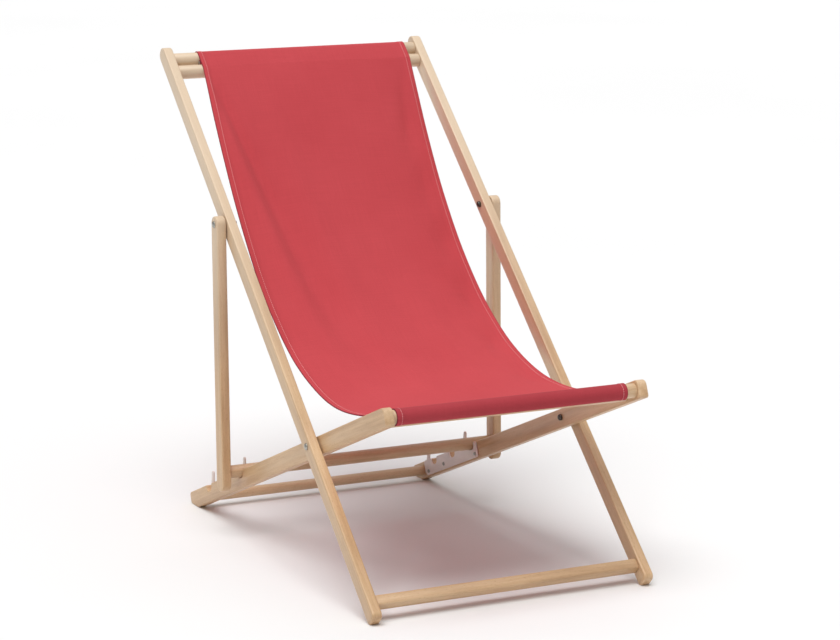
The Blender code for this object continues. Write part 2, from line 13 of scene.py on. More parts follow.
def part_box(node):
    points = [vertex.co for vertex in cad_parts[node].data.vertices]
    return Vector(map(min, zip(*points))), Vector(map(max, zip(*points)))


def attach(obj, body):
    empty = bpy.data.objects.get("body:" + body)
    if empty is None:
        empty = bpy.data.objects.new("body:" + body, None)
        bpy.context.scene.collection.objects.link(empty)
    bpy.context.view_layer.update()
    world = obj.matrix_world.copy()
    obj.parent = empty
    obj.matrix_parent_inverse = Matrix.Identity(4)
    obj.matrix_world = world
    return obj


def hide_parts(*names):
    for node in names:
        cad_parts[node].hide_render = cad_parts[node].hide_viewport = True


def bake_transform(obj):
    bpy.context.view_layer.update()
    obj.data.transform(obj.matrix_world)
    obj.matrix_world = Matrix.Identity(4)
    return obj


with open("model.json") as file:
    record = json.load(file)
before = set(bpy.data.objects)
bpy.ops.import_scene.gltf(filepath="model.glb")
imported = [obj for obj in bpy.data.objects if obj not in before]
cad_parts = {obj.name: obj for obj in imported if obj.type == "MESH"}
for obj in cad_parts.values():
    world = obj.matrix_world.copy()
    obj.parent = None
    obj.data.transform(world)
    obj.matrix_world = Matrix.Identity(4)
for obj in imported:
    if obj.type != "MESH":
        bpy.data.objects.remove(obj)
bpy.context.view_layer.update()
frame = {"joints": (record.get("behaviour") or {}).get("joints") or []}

# The frames, as they stand

JOINTS = {joint["name"]: joint for joint in frame["joints"]}
SEAT_PIVOT = Vector(JOINTS["back_fold"]["pos_m"])
PROP_PIVOT = Vector(JOINTS["prop_swing"]["pos_m"])
BACK_ANGLE = math.radians(42.7)
SEAT_DROP = 0.0015
SIDES = {"left": -1, "right": 1}

# Wood sizes
EDGE_ROUND = 0.0024
BACK_LEG_WIDTH = 0.030
BACK_REACH = 0.929
BACK_FOOT_LAND = 0.007
BACK_TOE_ROUND = 0.010
SEAT_WIDTH = 0.034
SEAT_FRONT = 0.297
SEAT_REAR = 0.661
SEAT_HEEL_LAND = 0.0125
NOTCHES = (0.554, 0.468, 0.382)
NOTCH_HALF = 0.0126
NOTCH_SINK = 0.0007
PROP_TOE = 0.0357
CROSSBAR_WIDTH = 0.021
CROSSBAR_HEIGHT = 0.020
CROSSBAR_ROUND = 0.004
CROSSBAR_EASE = 0.001
TENON_LENGTH = 0.0103
TENON_SHARE = 0.6
END_EASE = 0.0012
HOLE_D = 0.0066

# Racks: each hook's root and tip, as distances behind its notch
NOTCH_MOUTH_ROUND = 0.0035
NOTCH_FLOOR_ROUND = 0.009
RACK_NOTCH_EASE = 0.0004
RACK_FRONT = 0.012
RACK_REAR = 0.047
RACK_RAISE = 0.0035
RACK_ARRIS = 0.0007
HOOK_ROOT = (0.007, 0.020)
HOOK_TIP = (-0.004, 0.005)
HOOK_RISE = 0.026
RACK_HOLE_D = 0.0041

# Pivots: radii and lengths of the bolts, nuts and washers
PIVOT_GAP = 0.0003
SHANK_R = 0.0030
SHANK_TIP_R = 0.0027
SHANK_PAST_FACE = 0.0041
BOLT_HEAD_R = 0.0062
BOLT_HEAD_RISE = 0.0028
NUT_BORE_R = 0.0033
NUT_R = 0.00575
NUT_RIM = 0.0027
NUT_DOME_R = 0.0056
NUT_DOME_RISE = 0.0035
WASHER_R = 0.008
WASHER_ARRIS = 0.0002

# Rack screws
SCREW_HEAD_R = 0.00375
SCREW_HEAD_RISE = 0.0024
SCREW_SHANK_R = 0.00175
SCREW_THREAD = 0.0105
SCREW_LENGTH = 0.0135
RECESS_SIZE = (0.0026, 0.0008, 0.0040)
DRILL_REACH = 0.35

# Cloth
SLING_WIDTH = 0.447
CLOTH_THICK = 0.0011
HEM_THICK = 0.0023
HEM_WIDTH = 0.0120
STITCH_INSET = 0.0098
SHIFT_TOP = 0.0109
SHIFT_FRONT = -0.0048
LEAVE_LEFT = math.radians(6.0)
LEAVE_RIGHT = math.radians(20.0)
LEAVE_CURVE = 3.0
LEAVE_PULL = 0.235
ARRIVE_ANGLE = math.radians(2.6)
ARRIVE_PULL = 0.515
DOWEL_PITCH = 0.0312
DOWEL_R = 0.013
ROD_R = 0.003
TOP_DOWEL_IN = 0.0274
FRONT_DOWEL_IN = 0.017
DOWEL_TO_CLOTH = 0.0009
ROD_TO_CLOTH = 0.0008
ROD_GAP = 0.0013
SLEEVE_SWEEP = math.radians(312)
SLEEVE_STEPS = 20
WRAP_STEPS = 30
LEAVE_STEPS = 4
SLEEVE_STATIONS = SLEEVE_STEPS + 2
WRAP_STATIONS = SLEEVE_STEPS + WRAP_STEPS + LEAVE_STEPS + 8
FREE_STEPS = 150
PLAIN_COLUMNS = 60
STITCH_PITCH = 0.0042
STITCH_LENGTH = 0.0034
THREAD_R = 0.00045

# Folds: where each starts and ends down the cloth, its distance from the left edge there, how
# quickly it drifts across, its half width and its height
FOLDS = (
    (0.00, 0.72, 0.012, 0.118, 1.8, 0.015, -0.0086),
    (0.01, 0.80, 0.000, 0.092, 1.5, 0.015, 0.0072),
    (0.10, 0.98, 0.070, 0.175, 1.4, 0.024, -0.0046),
    (0.06, 0.96, 0.120, 0.215, 1.2, 0.028, 0.0042),
    (0.02, 0.26, 0.420, 0.392, 1.0, 0.015, -0.0034),
    (0.01, 0.40, 0.436, 0.430, 1.0, 0.012, 0.0028),
    (0.30, 0.86, 0.235, 0.300, 1.0, 0.024, -0.0014),
    (0.42, 0.98, 0.300, 0.345, 1.0, 0.026, 0.0018),
)

# Studio
CAMERA_FROM_PIVOT = Vector((-2.2002, -4.3990, 1.1917))
CAMERA_TILT = math.radians(78.619)
CAMERA_TURN = math.radians(-26.026)
CAMERA_LENS = 121.1
SENSOR_WIDTH = 36.0
FLOOR_HALF = 200.0
SKY = ((0.0, 0.06), (0.9, 0.60))
LIGHTS = (
    ("key_light", (-0.26, -0.22, 0.94), 46, 2.22),
    ("back_light", (0.45, 0.55, 0.75), 70, 0.30),
)

# Colours
BEECH_LIGHT = (0.73, 0.53, 0.335)
BEECH_MIDDLE = (0.64, 0.43, 0.240)
BEECH_DEEP = (0.50, 0.300, 0.150)
# painted light: the paler tone the wood takes towards the top of the chair
BEECH_PAINTED_TOP_LIGHT = (0.80, 0.66, 0.50, 1)
BEECH_WORN = (0.72, 0.56, 0.39, 1)
CANVAS_RED = (0.55, 0.060, 0.072)
MILKY_NYLON = (0.84, 0.745, 0.705)
WASHER_NYLON = (0.62, 0.60, 0.57)
WHITE = (1, 1, 1)
BLACK = (0, 0, 0)
SHARP = math.radians(32)
CLOTH_SHARP = math.radians(50)

HEEL_LOW = SEAT_WIDTH / 2 + SEAT_DROP - SEAT_HEEL_LAND
SEAT_SLOPE = math.asin(SEAT_PIVOT.z / math.hypot(SEAT_REAR, HEEL_LOW)) - math.atan(HEEL_LOW / SEAT_REAR)
SEAT_TOP = SEAT_WIDTH / 2 - SEAT_DROP
SEAT_LOW = -SEAT_WIDTH / 2 - SEAT_DROP


def turned(point, angle):
    """A (y, z) point turned about X, as a vector."""
    y, z = point
    return Vector((0, y * math.cos(angle) - z * math.sin(angle), y * math.sin(angle) + z * math.cos(angle)))


BAR_AT = SEAT_PIVOT + turned((NOTCHES[-1], SEAT_TOP - NOTCH_SINK), -SEAT_SLOPE)
PROP_REACH = PROP_PIVOT - BAR_AT
PROP_LENGTH = PROP_REACH.length
PROP_ANGLE = math.atan2(PROP_REACH.z, PROP_REACH.y)
BACK = (SEAT_PIVOT, BACK_ANGLE)
SEAT = (SEAT_PIVOT, -SEAT_SLOPE)
PROP = (PROP_PIVOT, PROP_ANGLE)


# Camera, floor and light


def linked(name, data):
    """A new object in the scene."""
    obj = bpy.data.objects.new(name, data)
    bpy.context.scene.collection.objects.link(obj)
    return obj


def studio_camera():
    lens = bpy.data.cameras.new("studio_camera")
    lens.lens = CAMERA_LENS
    lens.sensor_width = SENSOR_WIDTH
    camera = linked("studio_camera", lens)
    camera.location = SEAT_PIVOT + CAMERA_FROM_PIVOT
    camera.rotation_euler = (CAMERA_TILT, 0, CAMERA_TURN)
    bpy.context.scene.camera = camera


def studio_floor():
    half = FLOOR_HALF
    mesh = bpy.data.meshes.new("studio_floor")
    corners = [(-half, -half, 0), (half, -half, 0), (half, half, 0), (-half, half, 0)]
    mesh.from_pydata(corners, [], [(0, 1, 2, 3)])
    mesh.materials.append(floor_material())
    linked("studio_floor", mesh)


def studio_sky():
    """A dim sky that brightens from the horizon up."""
    world = bpy.data.worlds.new("studio_world")
    bpy.context.scene.world = world
    world.use_nodes = True
    tree = world.node_tree
    height = tree.nodes.new("ShaderNodeSeparateXYZ")
    tree.links.new(tree.nodes.new("ShaderNodeTexCoord").outputs["Generated"], height.inputs["Vector"])
    sky = tree.nodes.new("ShaderNodeValToRGB")
    for stop, (place, tone) in zip(sky.color_ramp.elements, SKY):
        stop.position = place
        stop.color = (*grey(tone), 1)
    tree.links.new(height.outputs["Z"], sky.inputs["Fac"])
    tree.links.new(sky.outputs["Color"], tree.nodes["Background"].inputs["Color"])


def studio_lights():
    """Broad, soft lamps, each shining from its own direction."""
    for name, place, softness, strength in LIGHTS:
        light = bpy.data.lights.new(name, "SUN")
        light.angle = math.radians(softness)
        light.energy = strength
        linked(name, light).rotation_euler = Vector(place).to_track_quat("Z", "Y").to_euler()


def studio():
    bpy.context.scene.view_settings.view_transform = "Standard"
    studio_camera()
    studio_floor()
    studio_sky()
    studio_lights()


# Materials


def grey(tone):
    return (tone, tone, tone)


class Nodes:
    """A short way to write a material's nodes."""

    def __init__(self, name):
        self.material = bpy.data.materials.new(name)
        self.material.use_nodes = True
        self.tree = self.material.node_tree
        self.shader = self.tree.nodes["Principled BSDF"]

    def add(self, kind, settings=None, **inputs):
        node = self.tree.nodes.new(kind)
        for key, value in (settings or {}).items():
            setattr(node, key, value)
        for key, value in inputs.items():
            self.feed(node.inputs[key.replace("_", " ")], value)
        return node

    def feed(self, socket, value):
        if isinstance(value, bpy.types.NodeSocket):
            self.tree.links.new(value, socket)
        else:
            socket.default_value = value

    def ramp(self, factor, stops):
        node = self.add("ShaderNodeValToRGB", Fac=factor)
        ramp = node.color_ramp
        for i, (place, color) in enumerate(stops):
            stop = ramp.elements[i] if i < 2 else ramp.elements.new(place)
            stop.position = place
            stop.color = (*color, 1)
        return node.outputs["Color"]

    def mix(self, factor, first, second, blend="MIX"):
        node = self.add("ShaderNodeMix", {"data_type": "RGBA", "blend_type": blend})
        self.feed(node.inputs["Factor"], factor)
        self.feed(node.inputs[6], first)
        self.feed(node.inputs[7], second)
        return node.outputs[2]

    def math(self, operation, first, second=0.0):
        node = self.add("ShaderNodeMath", {"operation": operation})
        self.feed(node.inputs[0], first)
        self.feed(node.inputs[1], second)
        return node.outputs[0]

    def noise(self, vector, scale, detail=3.0, roughness=0.5):
        node = self.add("ShaderNodeTexNoise", Vector=vector, Scale=scale, Detail=detail, Roughness=roughness)
        return node.outputs["Fac"]

    def mapped(self, source, rotation=(0, 0, 0), scale=(1, 1, 1), location=(0, 0, 0)):
        node = self.add("ShaderNodeMapping", Vector=source, Rotation=rotation, Scale=scale, Location=location)
        return node.outputs["Vector"]

    def bump(self, height, distance, strength=1.0):
        node = self.add("ShaderNodeBump", Height=height, Distance=distance, Strength=strength)
        self.feed(self.shader.inputs["Normal"], node.outputs["Normal"])

    def set(self, **inputs):
        for key, value in inputs.items():
            self.feed(self.shader.inputs[key.replace("_", " ")], value)
        return self.material


def floor_material():
    n = Nodes("pale_floor")
    coords = n.add("ShaderNodeTexCoord").outputs["Object"]
    tone = n.ramp(n.noise(coords, 0.6, 2.0), [(0.3, grey(0.86)), (0.7, grey(0.88))])
    return n.set(Base_Color=tone, Roughness=0.85)


def beech(name, angle, seed, warm=0.0, along_x=False):
    """Satin beech: straight grain along the piece and short dark flecks, painted light that makes it paler
    towards the top of the chair, and rubbed pale on its arrises."""
    n = Nodes("beech_" + name)
    draw = random.Random(seed)
    start = tuple(draw.uniform(-3, 3) for _ in range(3))
    coords = n.add("ShaderNodeTexCoord").outputs["Object"]
    if along_x:
        long_way = n.mapped(coords, scale=(0.05, 1, 1), location=start)
        fleck_way = n.mapped(coords, scale=(0.16, 1, 1), location=start)
    else:
        level = n.mapped(coords, rotation=(-angle, 0, 0), location=start)
        long_way = n.mapped(level, scale=(1, 0.05, 1))
        fleck_way = n.mapped(level, scale=(1, 0.16, 1))
    broad = n.noise(long_way, 60.0, 4.0, 0.6)
    fine = n.noise(long_way, 420.0, 5.0, 0.65)
    fleck = n.noise(fleck_way, 1100.0, 1.0, 0.4)
    cloud = n.noise(coords, 5.0 + seed % 3, 2.0)
    light, middle, deep = (
        (red + warm, green, blue) for red, green, blue in (BEECH_LIGHT, BEECH_MIDDLE, BEECH_DEEP)
    )
    tone = n.ramp(broad, [(0.30, deep), (0.70, light), (0.5, middle)])
    lines = n.ramp(fine, [(0.35, (0.86, 0.81, 0.75)), (0.62, WHITE)])
    grained = n.mix(0.75, tone, lines, "MULTIPLY")
    flecks = n.ramp(fleck, [(0.64, WHITE), (0.70, (0.70, 0.58, 0.47))])
    marked = n.mix(0.55, grained, flecks, "MULTIPLY")
    clouds = n.ramp(cloud, [(0.3, (0.93, 0.90, 0.87)), (0.75, (1.05, 1.03, 1.0))])
    aged = n.mix(1.0, marked, clouds, "MULTIPLY")
    # painted light: the wood is mixed towards a paler tone with its height above the floor
    height_above_floor = n.add("ShaderNodeSeparateXYZ", Vector=coords).outputs["Z"]
    painted_top_light = n.ramp(height_above_floor, [(0.30, BLACK), (0.72, grey(0.62))])
    top_lit_wood = n.mix(painted_top_light, aged, BEECH_PAINTED_TOP_LIGHT)
    edge = n.add("ShaderNodeNewGeometry").outputs["Pointiness"]
    worn = n.mix(n.ramp(edge, [(0.52, BLACK), (0.60, grey(0.55))]), top_lit_wood, BEECH_WORN)
    sheen = n.ramp(broad, [(0.3, grey(0.44)), (0.7, grey(0.56))])
    height = n.math("ADD", n.math("MULTIPLY", fine, 0.6), n.math("MULTIPLY", fleck, 0.4))
    n.bump(height, 0.00012, 0.55)
    return n.set(Base_Color=worn, Roughness=sheen, Coat_Weight=0.40, Coat_Roughness=0.28)


def canvas(name, color, roll_from):
    """Plain-woven cotton canvas: crossed threads, uneven yarn, a little fading, and painted shade along its
    folded edges.

    It also has painted shade round the front roll, which starts at roll_from along the cloth.
    """
    n = Nodes(name)
    uv = n.add("ShaderNodeUVMap", {"uv_map": "cloth"}).outputs["UV"]
    threads_per_metre = 900.0
    turns = threads_per_metre / 6.0
    warp = n.add("ShaderNodeTexWave", {"bands_direction": "X"}, Vector=uv, Scale=turns).outputs["Fac"]
    weft = n.add("ShaderNodeTexWave", {"bands_direction": "Y"}, Vector=uv, Scale=turns).outputs["Fac"]
    checker = n.add("ShaderNodeTexChecker", Vector=uv, Scale=threads_per_metre).outputs["Fac"]
    over = n.mix(checker, warp, weft)
    slub_warp = n.noise(n.mapped(uv, scale=(420, 14, 1)), 1.0, 4.0, 0.6)
    slub_weft = n.noise(n.mapped(uv, scale=(14, 420, 1)), 1.0, 4.0, 0.6)
    fade = n.noise(uv, 6.0, 3.0)
    pale = tuple(c * 1.05 + 0.006 for c in color)
    tone = n.ramp(fade, [(0.3, color), (0.75, pale)])
    weave = n.ramp(over, [(0.1, (0.84, 0.80, 0.80)), (0.9, grey(1.08))])
    crossed = n.mix(0.4, tone, weave, "MULTIPLY")
    slubs = [(0.32, (0.90, 0.87, 0.87)), (0.7, grey(1.05))]
    for slub in (slub_warp, slub_weft):
        crossed = n.mix(0.3, crossed, n.ramp(slub, slubs), "MULTIPLY")
    place = n.add("ShaderNodeSeparateXYZ", Vector=uv)
    across, along = place.outputs["X"], place.outputs["Y"]
    # painted shade: a dark purple line along each folded edge, within about a millimetre of it
    from_edge = n.math("MINIMUM", across, n.math("SUBTRACT", SLING_WIDTH, across))
    near = n.math("MULTIPLY", from_edge, 100.0)
    edge = n.ramp(near, [(0.06, (0.50, 0.46, 0.60)), (0.16, WHITE)])
    # painted shade: the cloth is darkened round the front roll, from roll_from along the cloth onwards
    round_roll = n.math("MULTIPLY", n.math("SUBTRACT", along, roll_from), 20.0)
    painted_roll_shade = n.ramp(round_roll, [(0.04, WHITE), (0.5, (0.74, 0.70, 0.76))])
    with_roll_shade = n.mix(1.0, crossed, painted_roll_shade, "MULTIPLY")
    cloth_tone = n.mix(1.0, with_roll_shade, edge, "MULTIPLY")
    height = n.math("ADD", n.math("MULTIPLY", over, 0.7), n.math("MULTIPLY", slub_weft, 0.4))
    n.bump(height, 0.0002, 0.6)
    return n.set(Base_Color=cloth_tone, Roughness=0.86, Sheen_Weight=0.04, Sheen_Roughness=0.45,
                 Specular_IOR_Level=0.25)


def thread_material():
    n = Nodes("pink_sewing_thread")
    coords = n.add("ShaderNodeTexCoord").outputs["Object"]
    twist = n.noise(n.mapped(coords, scale=(1, 0.4, 1)), 1600.0, 2.0)
    tone = n.ramp(twist, [(0.35, (0.74, 0.30, 0.31)), (0.65, (0.88, 0.46, 0.46))])
    n.bump(twist, 0.0001, 0.6)
    return n.set(Base_Color=tone, Roughness=0.7, Sheen_Weight=0.2)


def nylon(name, color, seed):
    """Milky moulded nylon with fine flow marks and scuffs."""
    n = Nodes(name)
    coords = n.mapped(n.add("ShaderNodeTexCoord").outputs["Object"], location=(seed, 0, 0))
    flow = n.noise(n.mapped(coords, scale=(1, 0.3, 1)), 70.0, 3.0)
    grain = n.noise(coords, 900.0, 2.0)
    tone = n.ramp(flow, [(0.3, tuple(c * 0.9 for c in color)), (0.7, color)])
    rough = n.ramp(flow, [(0.3, grey(0.38)), (0.7, grey(0.52))])
    n.bump(grain, 0.00008, 0.4)
    return n.set(Base_Color=tone, Roughness=rough, Subsurface_Weight=0.25, Subsurface_Scale=0.004,
                 Subsurface_Radius=(1.0, 0.9, 0.8))


def zinc(name, seed, light=1.0):
    """Zinc-plated steel: a fine drawn grain and dull spots; a lower light gives a darker colour, which on the
    pivot nuts is painted shade.
    """
    n = Nodes(name)
    coords = n.mapped(n.add("ShaderNodeTexCoord").outputs["Object"], location=(seed, seed, 0))
    drawn = n.noise(n.mapped(coords, scale=(1, 8, 8)), 300.0, 3.0)
    spots = n.noise(coords, 260.0, 3.0, 0.6)
    dull = (light * 0.34, light * 0.33, light * 0.30)
    bright = (light * 0.52, light * 0.51, light * 0.47)
    tone = n.ramp(spots, [(0.35, dull), (0.65, bright)])
    rough = n.ramp(drawn, [(0.3, grey(0.26)), (0.7, grey(0.44))])
    n.bump(drawn, 0.00005, 0.5)
    return n.set(Base_Color=tone, Roughness=rough, Metallic=1.0)


# Mesh helpers


def smoothed(mesh, sharp=SHARP):
    """Smooth shading that keeps corners sharper than the given turn."""
    mesh.shade_smooth()
    mesh.set_sharp_from_angle(angle=sharp)


def piece(name, made, material, body=None, stands_for=(), sharp=SHARP):
    """Makes the mesh an object, and settles it on its body when one is given."""
    mesh = bpy.data.meshes.new(name)
    bmesh.ops.recalc_face_normals(made, faces=made.faces)
    made.to_mesh(mesh)
    made.free()
    obj = linked(name, mesh)
    mesh.materials.append(material)
    smoothed(mesh, sharp)
    if body:
        settle(obj, body, stands_for)
    return obj


def settle(obj, body, stands_for=()):
    """Says which body a piece rides and which nodes it replaces."""
    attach(obj, body)
    if stands_for:
        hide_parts(*stands_for)


def placed(made, stand):
    """Moves a mesh drawn in a frame's own plane to where the frame stands."""
    at, angle = stand
    made.transform(Matrix.Translation(at) @ Matrix.Rotation(angle, 4, "X"))
    return made


def filleted(corners, steps=9):
    """An outline whose corners, each (y, z, radius), are rounded by an arc."""
    points = []
    for i, (y, z, radius) in enumerate(corners):
        corner = Vector((y, z))
        if radius == 0:
            points.append(corner)
            continue
        before = (Vector(corners[i - 1][:2]) - corner).normalized()
        after = (Vector(corners[(i + 1) % len(corners)][:2]) - corner).normalized()
        half = before.angle(after) / 2
        centre = corner + (before + after).normalized() * radius / math.sin(half)
        first = corner + before * radius / math.tan(half) - centre
        sweep = first.angle_signed(corner + after * radius / math.tan(half) - centre)
        points += [centre + Matrix.Rotation(-sweep * step / steps, 2) @ first for step in range(steps + 1)]
    return [p for i, p in enumerate(points) if (p - points[i - 1]).length > 1e-6]


def inset(outline, distance):
    """The outline moved inwards all round."""
    moved = []
    for i, point in enumerate(outline):
        before = (point - outline[i - 1]).normalized()
        after = (outline[(i + 1) % len(outline)] - point).normalized()
        first, second = Vector((-before.y, before.x)), Vector((-after.y, after.x))
        moved.append(point + (first + second) / (1 + first.dot(second)) * distance)
    return moved


def plate(outline, x_from, x_to, ease=EDGE_ROUND, steps=5):
    """A flat piece cut to an outline, with rounded arrises."""
    made = bmesh.new()
    turns = [math.pi / 2 * step / steps for step in range(steps + 1)]
    near = [(x_from + ease * (1 - math.sin(a)), ease * (1 - math.cos(a))) for a in reversed(turns)]
    far = [(x_to - ease * (1 - math.sin(a)), ease * (1 - math.cos(a))) for a in turns]
    rings = [[made.verts.new((x, p.x, p.y)) for p in inset(outline, depth)] for x, depth in near + far]
    for first, second in zip(rings, rings[1:]):
        for i, corner in enumerate(first):
            made.faces.new([corner, first[i - 1], second[i - 1], second[i]])
    made.faces.new(rings[0])
    made.faces.new(rings[-1])
    return made


def lathe(profile, at=(0, 0), steps=48):
    """A piece turned about a line along X at the point (y, z): profile holds (x, radius) pairs."""
    made = bmesh.new()
    y, z = at
    rings = []
    for x, radius in profile:
        if radius == 0:
            rings.append([made.verts.new((x, y, z))])
            continue
        angles = [2 * math.pi * step / steps for step in range(steps)]
        circle = [(y + radius * math.cos(a), z + radius * math.sin(a)) for a in angles]
        rings.append([made.verts.new((x, *point)) for point in circle])
    for first, second in zip(rings, rings[1:]):
        for i in range(steps):
            j = (i + 1) % steps
            near = [first[i % len(first)], first[j % len(first)]]
            far = [second[j % len(second)], second[i % len(second)]]
            made.faces.new(list(dict.fromkeys(near + far)))
    return made


def span(node):
    """Lowest and highest x of a CAD node."""
    low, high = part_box(node)
    return low[0], high[0]


def middle(node):
    """Middle (y, z) of a CAD node."""
    low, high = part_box(node)
    return (low[1] + high[1]) / 2, (low[2] + high[2]) / 2


def applied(obj):
    """Gives an object the plain mesh that its modifiers make."""
    bpy.context.view_layer.update()
    graph = bpy.context.evaluated_depsgraph_get()
    result = bpy.data.meshes.new_from_object(obj.evaluated_get(graph))
    for modifier in list(obj.modifiers):
        obj.modifiers.remove(modifier)
    obj.data = result
    smoothed(result)
    return obj


def cut_with(obj, name, made):
    """Cuts a closed mesh out of an object and keeps the result as a plain mesh."""
    mesh = bpy.data.meshes.new(name)
    bmesh.ops.recalc_face_normals(made, faces=made.faces)
    made.to_mesh(mesh)
    made.free()
    cutter = linked(name, mesh)
    obj.modifiers.new(name, "BOOLEAN").object = cutter
    applied(obj)
    bpy.data.objects.remove(cutter)


def drilled(obj, places, diameter):
    """Cuts a round hole along X at each (y, z) place."""
    radius = diameter / 2
    for place in places:
        profile = [(-DRILL_REACH, 0), (-DRILL_REACH, radius), (DRILL_REACH, radius), (DRILL_REACH, 0)]
        cut_with(obj, "drill", lathe(profile, place, 32))


# Wooden pieces


def floor_y(z, angle):
    """How far along a frame its line at height z meets the floor."""
    return -(SEAT_PIVOT.z + z * math.cos(angle)) / math.sin(angle)


def back_outline():
    half = BACK_LEG_WIDTH / 2
    heel = floor_y(-half, BACK_ANGLE)
    end = heel - BACK_FOOT_LAND * math.cos(BACK_ANGLE)
    return filleted([
        (heel, -half, 0.0015),
        (BACK_REACH, -half, half),
        (BACK_REACH, half, half),
        (end, half, BACK_TOE_ROUND),
        (end, -half + BACK_FOOT_LAND * math.sin(BACK_ANGLE), 0.0025),
    ], 14)


def notch_corners(y, half):
    """The four corners of a notch for the prop bar, from its rear lip to its front lip."""
    floor = SEAT_TOP - NOTCH_SINK - half
    return [
        (y + half, SEAT_TOP, NOTCH_MOUTH_ROUND),
        (y + half, floor, NOTCH_FLOOR_ROUND),
        (y - half, floor, NOTCH_FLOOR_ROUND),
        (y - half, SEAT_TOP, NOTCH_MOUTH_ROUND),
    ]


def seat_outline():
    return filleted([
        (-SEAT_FRONT, SEAT_LOW, 0.005),
        (floor_y(SEAT_LOW, -SEAT_SLOPE), SEAT_LOW, 0.004),
        (SEAT_REAR, -HEEL_LOW, 0.005),
        (SEAT_REAR, SEAT_TOP, 0.006),
        *(corner for y in NOTCHES for corner in notch_corners(y, NOTCH_HALF)),
        (-SEAT_FRONT, SEAT_TOP, 0.012),
    ])


def prop_outline():
    half = BACK_LEG_WIDTH / 2
    foot = -PROP_LENGTH - PROP_TOE
    corners = [(foot, -half), (half, -half), (half, half), (foot, half)]
    return filleted([(y, z, half) for y, z in corners], 14)


def wooden_rails():
    for number, side in enumerate(SIDES):
        for node, outline, stand, body, holes in (
            ("back_rail_", back_outline(), BACK, "back_frame", (SEAT_PIVOT, PROP_PIVOT)),
            ("seat_rail_", seat_outline(), SEAT, "seat_frame", (SEAT_PIVOT,)),
            ("prop_leg_", prop_outline(), PROP, "prop_frame", (PROP_PIVOT,)),
        ):
            name = node + side
            wood = beech(name, stand[1], 11 + 7 * number + len(name), 0.01 * number)
            made = placed(plate(outline, *span(name)), stand)
            rail = piece("beech_" + name, made, wood)
            drilled(rail, [(hole.y, hole.z) for hole in holes], HOLE_D)
            settle(rail, body, [name])


def dowel(name, body):
    """A turned dowel: a straight round body, eased ends and a tenon at each end."""
    low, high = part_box(name)
    radius = (high[2] - low[2]) / 2
    tip = high[0]
    shoulder = tip - TENON_LENGTH
    half = [
        (shoulder - END_EASE, radius),
        (shoulder - END_EASE * 0.3, radius - END_EASE * 0.3),
        (shoulder, radius - END_EASE),
        (shoulder, radius * TENON_SHARE),
        (tip, radius * TENON_SHARE),
        (tip, 0),
    ]
    profile = [(-x, r) for x, r in reversed(half)] + half
    wood = beech(name, 0, 31 + len(name), along_x=True)
    piece("beech_" + name, lathe(profile, middle(name)), wood, body, [name])


def crossbar():
    """The square bar with rounded arrises between the feet of the long rails."""
    name = "bottom_crossbar"
    y, z = middle(name)
    drop = -turned((y - SEAT_PIVOT.y, z - SEAT_PIVOT.z), -BACK_ANGLE).y
    half_width, half_height = CROSSBAR_WIDTH / 2, CROSSBAR_HEIGHT / 2
    corners = [(-half_width, -half_height), (half_width, -half_height),
               (half_width, half_height), (-half_width, half_height)]
    outline = filleted([(a - drop, b, CROSSBAR_ROUND) for a, b in corners], 8)
    shoulder = span(name)[1] - TENON_LENGTH
    made = placed(plate(outline, -shoulder, shoulder, CROSSBAR_EASE, 3), BACK)
    piece("beech_" + name, made, beech(name, 0, 53, along_x=True), "back_frame", [name])


# Racks and hardware


def rack_outline():
    """The rack follows the seat rail's notches and has a leaning hook behind the first and last."""
    half = NOTCH_HALF + RACK_NOTCH_EASE
    tip = SEAT_TOP + HOOK_RISE
    top = []
    for y in NOTCHES:
        lip = y + half
        if y != NOTCHES[1]:
            top += [(lip + HOOK_ROOT[1], SEAT_TOP, 0.002), (lip + HOOK_TIP[1], tip, 0.004),
                    (lip + HOOK_TIP[0], tip, 0.004), (lip + HOOK_ROOT[0], SEAT_TOP, 0.002)]
        top += notch_corners(y, half)
    front = NOTCHES[2] - NOTCH_HALF - RACK_FRONT
    rear = NOTCHES[0] + RACK_REAR
    low = SEAT_LOW + RACK_RAISE
    return filleted([(front, low, 0.005), (rear, low, 0.012), (rear, SEAT_TOP, 0.005), *top,
                     (front, SEAT_TOP, 0.005)], 7)


def racks():
    for number, side in enumerate(SIDES):
        name = "notch_rack_" + side
        made = placed(plate(rack_outline(), *span(name), RACK_ARRIS, 3), SEAT)
        rack = piece("nylon_" + name, made, nylon("milky_nylon_" + side, MILKY_NYLON, number))
        drilled(rack, [middle(f"rack_screw_{side}_{screw}") for screw in (1, 2, 3)], RACK_HOLE_D)
        settle(rack, "seat_frame", [name])


def domed(x_base, radius, rise, way, steps=8):
    """Profile points of a round dome from its rim to its top."""
    turns = [math.pi / 2 * step / steps for step in range(steps)]
    dome = [(x_base + way * rise * math.sin(a), radius * math.cos(a)) for a in turns]
    return dome + [(x_base + way * rise, 0)]


def bolt_profile(head_seat, face):
    """A round-headed bolt, from the shank's end past the nut's face out to the top of its head."""
    shank_end = face - SHANK_PAST_FACE
    shank = [(shank_end, 0), (shank_end, SHANK_TIP_R), (shank_end + 0.0004, SHANK_R), (head_seat, SHANK_R)]
    rim = [(head_seat, 0.0061), (head_seat + 0.0006, 0.00625)]
    return shank + rim + domed(head_seat + 0.0006, BOLT_HEAD_R, BOLT_HEAD_RISE, 1)


def nut_profile(face):
    """A domed cap nut with a blind bore, its flat side on the inner rail's face."""
    bore_end = face - 0.0044
    bore = [(bore_end, 0), (bore_end, NUT_BORE_R), (face, NUT_BORE_R)]
    rim = [(face, 0.0055), (face - 0.0004, NUT_R), (face - 0.0026, NUT_R)]
    return bore + rim + domed(face - NUT_RIM, NUT_DOME_R, NUT_DOME_RISE, -1)


